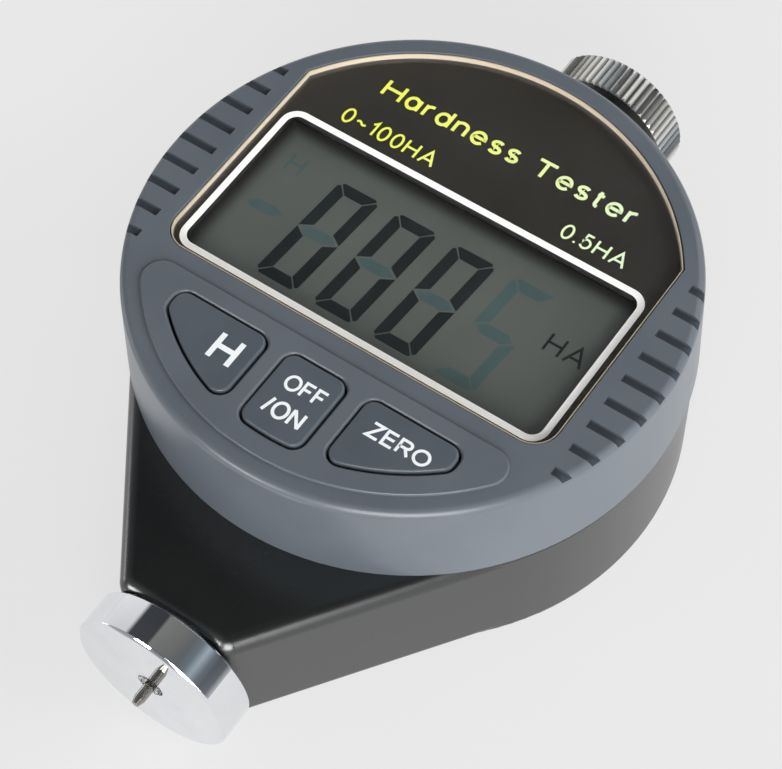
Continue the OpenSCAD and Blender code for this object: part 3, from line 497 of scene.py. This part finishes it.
def lens_outline(inset):
    """Outline of the lens, drawn in by a margin: straight sides and foot under one arc."""
    half = LENS_HALF_W - inset
    low = LENS_LOW + inset
    corner = LENS_CORNER - inset
    radius = LENS_ARC - inset
    side = math.degrees(math.acos(half / radius))
    return (arc(0, 0, radius, side, 180 - side, 96) + arc(corner - half, low + corner, corner, 180, 270, 10)
            + arc(half - corner, low + corner, corner, 270, 360, 10))


def at_key_hole(p):
    """Edges of the key holes on the panel."""
    return p.z > PANEL_TOP - NEAR and p.y < KEY_LINE and p.xy.length < KEY_REACH


def at_panel_edge(p):
    """Outer edge of the key panel."""
    return p.z > PANEL_TOP - NEAR and (p.y > KEY_LINE or p.xy.length > KEY_REACH)


def at_window(p):
    """Edge of the window that the lens sits in."""
    beside = p.y > -LENS_ARC and abs(p.x) < LENS_HALF_W + WINDOW_ROOM
    return p.z > HEAD_TOP - NEAR and beside and p.xy.length < LENS_ARC + WINDOW_ROOM


def at_key_rim(p):
    """Upper edges of a key."""
    return p.z > PANEL_TOP - KEY_RIM


def anywhere(p):
    """Every edge."""
    return True


# Head and keys with moulded edges, foot with turned edges
softened("head_moulding", "head_shell", "case", [
    (at_key_hole, KEY_HOLE_EDGE, 1), (at_panel_edge, PANEL_EDGE, 3), (at_window, WINDOW_EDGE, 2)])
for node in ("hold_key", "power_key", "zero_key"):
    softened(node + "_moulding", node, node, [(at_key_rim, KEY_EDGE, 2)])
softened("foot_turning", "presser_foot", "case", [(anywhere, FOOT_EDGE, 2)])

# Soft pieces inside, the spring and one dome of the key mat for each key, each with a mesh of its own; in the
# gauge they give way to the plunger and to the keys
spring = softened("spring_coil", "main_spring", "case")
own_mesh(spring)
for key, span in MAT_SPANS.items():
    dome = softened(key + "_dome", "key_mat", "case", span=span)
    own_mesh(dome)

# Lens: clear plate over its back print, at heights above the seat in millimetres
PLATE_LIFT = 0.04
BLACK_PRINT = (0.005, 0.015)
WHITE_PRINT = (0.018, 0.026)
LETTER_LIFT = 0.02
PRINT_INSET = 0.25
SAWN_INSETS = (0.02, 0.14)
SAWN_GAPS = (0.06, 0.04)
clear = flat_mesh("lens_clear", [lens_outline(0)], LENS_FLOOR + PLATE_LIFT, LENS_TOP)
welded = bmesh.new()
welded.from_mesh(clear)
bmesh.ops.remove_doubles(welded, verts=welded.verts, dist=WELD)
welded.to_mesh(clear)
welded.free()
source = from_data("lens_source", clear)
edge = source.modifiers.new("edge", "BEVEL")
edge.width = LENS_EDGE * MM
edge.segments = 2
edge.limit_method = "ANGLE"
edge.angle_limit = math.radians(LENS_SHARP_EDGE)
lens_plate = placed("lens_plate", evaluated(source), acrylic, "case")
lens_plate.visible_shadow = False
lens_plate.visible_diffuse = False
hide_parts("lens")

FRAME_OUTER = (-22.56, -11.14, 22.56, 10.17, 2.0)
FRAME_INNER = (-21.82, -10.40, 21.82, 9.40, 1.3)
view_edge = rounded_box(*FRAME_INNER)
layer("lens_black_print", [lens_outline(PRINT_INSET), view_edge],
      LENS_FLOOR + BLACK_PRINT[0], LENS_FLOOR + BLACK_PRINT[1], black_ink)
layer("lens_white_frame", [rounded_box(*FRAME_OUTER), view_edge],
      LENS_FLOOR + WHITE_PRINT[0], LENS_FLOOR + WHITE_PRINT[1], glowing_white_ink)
layer("lens_sawn_edge", [lens_outline(inset) for inset in SAWN_INSETS],
      LENS_FLOOR + SAWN_GAPS[0], LENS_TOP - SAWN_GAPS[1], sawn_edge)

# Black lining of the view's opening, between the display and the lens: a dark sheet of painted shade on the
# opening's walls
LINING_INSETS = (0.01, 0.12)
LINING_CORNER = 0.02
LINING_GAP = 0.02
x0, y0, x1, y1 = VIEW_HOLE
layer("opening_shade_lining", [rounded_box(x0 + d, y0 + d, x1 - d, y1 - d, LINING_CORNER) for d in LINING_INSETS],
      DISPLAY_TOP + LINING_GAP, LENS_FLOOR - LINING_GAP, black_abs)

INK = LENS_FLOOR + LETTER_LIFT
words("title_lettering", "Hardness Tester", (-15.8, 16.65, 16.0, 19.15), INK, lime_ink,
      "case", 0.19, 0.10)
words("range_lettering", "0~100HA", (-17.4, 11.4, -5.5, 13.5), INK, lime_ink, "case", 0.15)
words("step_lettering", "0.5HA", (10.3, 11.5, 18.1, 13.5), INK, lime_ink, "case", 0.15)

# Display: three figures in the row, idle bars, and the unit, in millimetres
FIGURE_W = 5.15
FIGURE_H = 14.3
STROKE = 1.35
SPLIT = 0.09
CUT = 0.3
TIP = 0.3
SLANT = 0.62
LEAN = 0.065
FIGURE_X = -13.45
FIGURE_Y = -8.68
FIGURE_PITCH = 7.33
FIGURE_LIFT = 0.004
GLASS_LIFT = 0.005
GLASS = DISPLAY_TOP + GLASS_LIFT


def bars(names):
    """Outlines of the named bars of one figure, leaning to the right."""
    w, h, t, s, c = FIGURE_W, FIGURE_H, STROKE, SPLIT, CUT
    m = h / 2
    left = [(0, m + s), (t, m + SLANT * t + s), (t, h - t - s), (c, h - c - s), (0, h - 2 * c)]
    top = [(c + s, h - c + s), (2 * c, h), (w - 2 * c, h), (w - c - s, h - c + s),
           (w - t - s, h - t), (t + s, h - t)]
    middle = [(TIP + s, m), (t, m + 0.5 * t), (w - t, m + 0.5 * t), (w - TIP - s, m),
              (w - t, m - 0.5 * t), (t, m - 0.5 * t)]
    right = [(w - x, y) for x, y in left]
    shapes = {"a": top, "b": right, "c": [(x, h - y) for x, y in right], "d": [(x, h - y) for x, y in top],
              "e": [(x, h - y) for x, y in left], "f": left, "g": middle}
    return [[(FIGURE_X + x + (y - m) * LEAN, FIGURE_Y + y) for x, y in shapes[n]] for n in names]


def row_tree():
    """Geometry nodes that repeat a figure along the row and join the copies."""
    tree = bpy.data.node_groups.new("figure_row", "GeometryNodeTree")
    sockets = {"Figure": "NodeSocketGeometry", "Count": "NodeSocketInt", "Pitch": "NodeSocketFloat",
               "Ink": "NodeSocketMaterial"}
    for name, kind in sockets.items():
        tree.interface.new_socket(name, in_out="INPUT", socket_type=kind)
    tree.interface.new_socket("Row", in_out="OUTPUT", socket_type="NodeSocketGeometry")
    given = add(tree, "NodeGroupInput")
    step = add(tree, "ShaderNodeCombineXYZ", {"X": given.outputs["Pitch"]})
    line = add(tree, "GeometryNodeMeshLine", {
        "Count": given.outputs["Count"], "Offset": step.outputs["Vector"]})
    copies = add(tree, "GeometryNodeInstanceOnPoints", {
        "Points": line.outputs["Mesh"], "Instance": given.outputs["Figure"]})
    joined = add(tree, "GeometryNodeRealizeInstances", {"Geometry": copies.outputs["Instances"]})
    inked = add(tree, "GeometryNodeSetMaterial", {
        "Geometry": joined.outputs["Geometry"], "Material": given.outputs["Ink"]})
    add(tree, "NodeGroupOutput", {"Row": inked.outputs["Geometry"]})
    return tree


row = row_tree()


def figures(name, names, count, first, z, material):
    """Bars of a figure, repeated along the row from a place in it."""
    mesh = flat_mesh(name, bars(names), z, z + INK_DEPTH)
    mesh.transform(Matrix.Translation((first * FIGURE_PITCH * MM, 0, 0)))
    source = from_data(name + "_source", mesh)
    repeat = source.modifiers.new("row", "NODES")
    repeat.node_group = row
    keys = {item.name: item.identifier for item in row.interface.items_tree if item.in_out == "INPUT"}
    repeat[keys["Count"]] = count
    repeat[keys["Pitch"]] = FIGURE_PITCH * MM
    repeat[keys["Ink"]] = material
    return placed(name, evaluated(source), material, "case")


figures("display_figures", "abcdef", 3, 0, GLASS + FIGURE_LIFT, dark_segment)
figures("display_idle_bars", "g", 3, 0, GLASS, ghost_segment)
figures("display_idle_figure", "afgcd", 1, 3, GLASS, ghost_segment)
minus = [(-19.8, -1.9), (-18.9, -1.1), (-16.6, -0.9), (-15.6, -1.5), (-16.4, -2.2), (-18.8, -2.4)]
layer("display_idle_sign", [minus], GLASS, GLASS + INK_DEPTH, ghost_segment)
words("display_unit", "HA", (16.0, -0.5, 20.6, 2.05), GLASS, dark_segment, "case", 0.13)
words("display_idle_hold", "H", (-19.2, 3.5, -17.25, 6.0), GLASS, ghost_segment, "case")

# Key legends: text, box in millimetres, key, weight and gap
LEGENDS = {
    "hold_legend": ("H", (-10.5, -21.55, -7.6, -17.8), "hold_key", 0.19, 0.17),
    "power_legend_upper": ("OFF", (-2.0, -20.1, 2.75, -18.15), "power_key", 0.19, 0.08),
    "power_legend_lower": ("/ON", (-2.2, -23.45, 2.4, -21.3), "power_key", 0.19, 0.08),
    "zero_legend": ("ZERO", (8.0, -20.05, 15.2, -18.15), "zero_key", 0.20, 0.06),
}
LEGEND_LIFT = 0.002
for name, (text, box, key, weight, gap) in LEGENDS.items():
    words(name, text, box, KEY_TOP + LEGEND_LIFT, legend_ink, key, weight, gap)

# Floor: a board that is partly self-lit where it is seen, for an even pale ground
FLOOR_HALF = 1500
FLOOR_THICK = 2
FLOOR_GLOW = 0.85
floor_mesh = flat_mesh("floor", [[(-FLOOR_HALF, -FLOOR_HALF), (FLOOR_HALF, -FLOOR_HALF),
                                  (FLOOR_HALF, FLOOR_HALF), (-FLOOR_HALF, FLOOR_HALF)]], -FLOOR_THICK, 0)
floor = from_data("floor", floor_mesh)
# Matt white board: even, with no sheen
board = surface("matt_white_board", "#e4e4e4", "#e8e8e8", 60, (0.85, 0.95))
floor_mesh.materials.clear()
floor_mesh.materials.append(board)
ground = board.node_tree
rays = add(ground, "ShaderNodeLightPath").outputs
direct = add(ground, "ShaderNodeMath", {
    0: rays["Is Camera Ray"], 1: rays["Is Glossy Ray"]}, operation="MAXIMUM")
seen = add(ground, "ShaderNodeMath", {0: direct, 1: rays["Is Transmission Ray"]}, operation="MAXIMUM")
glow = add(ground, "ShaderNodeMath", {0: seen, 1: FLOOR_GLOW}, operation="MULTIPLY")
even = add(ground, "ShaderNodeEmission", {"Color": linear("#e8e8e8"), "Strength": 1.0})
lit = add(ground, "ShaderNodeMixShader", {
    0: glow, 1: ground.nodes["Principled BSDF"], 2: even})
ground.links.new(lit.outputs["Shader"], ground.nodes["Material Output"].inputs["Surface"])

# Soft boxes round a dim ceiling, in metres and watts; one gives no reflection and one no diffuse light
AIM = Vector((0, 0, 0.015))
scene = bpy.context.scene
scene.view_settings.view_transform = "Standard"


def soft_box(name, place, size, power):
    """Square lamp turned towards the part."""
    lamp = bpy.data.lights.new(name, "AREA")
    lamp.shape = "SQUARE"
    lamp.size = size
    lamp.energy = power
    box = bpy.data.objects.new(name, lamp)
    scene.collection.objects.link(box)
    box.location = place
    box.rotation_euler = (AIM - Vector(place)).to_track_quat("-Z", "Y").to_euler()
    return box


soft_box("soft_box_front_right", (0.70, -1.12, 0.58), 1.0, 28.0)
soft_box("soft_box_back_right", (1.42, 0.66, 0.70), 1.1, 28.0).visible_glossy = False
soft_box("soft_box_front", (-0.40, -1.05, 0.54), 0.35, 5.5).visible_diffuse = False
soft_box("soft_box_left", (-0.90, -0.70, 1.20), 1.2, 1.0)
soft_box("soft_box_far", (0.30, 1.40, 0.90), 1.2, 5.0)
soft_box("soft_box_low", (-1.60, -0.45, 0.08), 0.5, 3.0)

# Ceiling: height of the direction, and colour
CEILING = ((0.0, "#b4b6ba"), (0.7, "#56585c"))
# Boards and gaps that bright metal shows towards the knob's end: bearing from overhead (degrees), and colour
BOARDS = (
    (-180, "#ffffff"), (-50, "#ffffff"), (-44, "#333538"), (-16, "#303235"), (-13, "#8a8a86"),
    (15, "#7b7b78"), (28, "#6d7073"), (40, "#77848d"), (50, "#b6c3cd"), (60, "#68717a"),
    (70, "#303842"), (82, "#303842"), (92, "#cfd0d2"),
)
# Reach of the direction towards the knob's end over which the boards take the ceiling's place
BOARDS_BLEND = (0.2, 0.35)
world = bpy.data.worlds.new("studio")
scene.world = world
world.use_nodes = True
sky = world.node_tree
direction = add(sky, "ShaderNodeTexCoord")
parts = add(sky, "ShaderNodeSeparateXYZ", {"Vector": direction.outputs["Generated"]})
ceiling = add(sky, "ShaderNodeValToRGB", {"Fac": parts.outputs["Z"]})
for stop, (at, code) in zip(ceiling.color_ramp.elements, CEILING):
    stop.position = at
    stop.color = linear(code)
bearing = add(sky, "ShaderNodeMath", {0: parts.outputs["X"], 1: parts.outputs["Z"]}, operation="ARCTAN2")
along = add(sky, "ShaderNodeMapRange", {"Value": bearing, "From Min": -math.pi, "From Max": math.pi})
boards = add(sky, "ShaderNodeValToRGB", {"Fac": along.outputs["Result"]})
while len(boards.color_ramp.elements) < len(BOARDS):
    boards.color_ramp.elements.new(1.0)
for stop, (angle, code) in zip(boards.color_ramp.elements, BOARDS):
    stop.position = (angle + 180) / 360
    stop.color = linear(code)
towards = add(sky, "ShaderNodeMapRange", {
    "Value": parts.outputs["Y"], "From Min": BOARDS_BLEND[0], "From Max": BOARDS_BLEND[1]})
room = add(sky, "ShaderNodeMix", {
    0: towards.outputs["Result"], 6: ceiling.outputs["Color"], 7: boards.outputs["Color"]}, data_type="RGBA")
sky.links.new(room.outputs[2], sky.nodes["Background"].inputs["Color"])

# Camera, from the fit of the photograph: focal length and width in its pixels, place in metres
FOCAL = 2407.67
PICTURE_W = 782
SENSOR = 36
CAMERA_AT = (0.082881, -0.117017, 0.229281)
LOOK = Vector((-0.319481, 0.434310, -0.842203))
UP = Vector((-0.471955, 0.697773, 0.538861))
CLIP_FROM = 0.01
camera_data = bpy.data.cameras.new("camera")
camera_data.sensor_width = SENSOR
camera_data.lens = SENSOR * FOCAL / PICTURE_W
camera_data.clip_start = CLIP_FROM
camera = bpy.data.objects.new("camera", camera_data)
scene.collection.objects.link(camera)
facing = Matrix((LOOK.cross(UP), UP, -LOOK)).transposed().to_4x4()
camera.matrix_world = Matrix.Translation(CAMERA_AT) @ facing
scene.camera = camera
